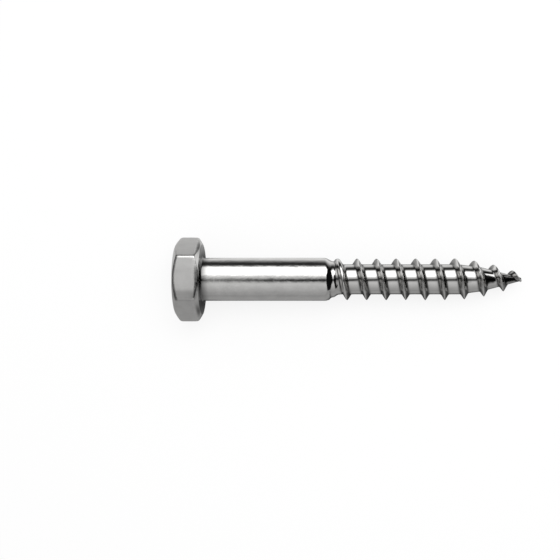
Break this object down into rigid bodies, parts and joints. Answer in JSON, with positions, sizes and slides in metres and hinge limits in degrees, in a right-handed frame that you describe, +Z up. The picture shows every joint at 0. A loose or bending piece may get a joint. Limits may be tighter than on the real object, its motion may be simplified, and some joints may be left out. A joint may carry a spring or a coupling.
{
  "type": "lag screw",
  "caption": "Hex-head lag screw with a plain shank, a coarse right-hand wood thread and a gimlet point, lying as it comes to rest.",
  "frame": {"origin": "on the surface that the screw lies on, under the middle of its box", "axes": "+X from the head to the point, seen from above; +Z up. The screw lies on one side of its hexagon and on a thread crest, so its own axis dips 3.7 degrees towards the point. Two corners of the head are on +Y and -Y."},
  "size_m": [0.08, 0.0196, 0.0173],
  "materials": {
    "steel": "bright stainless, as forged and rolled, with a soft polish"
  },
  "bodies": {
    "root": {"lag_screw": "steel"}
  },
  "joints": []
}
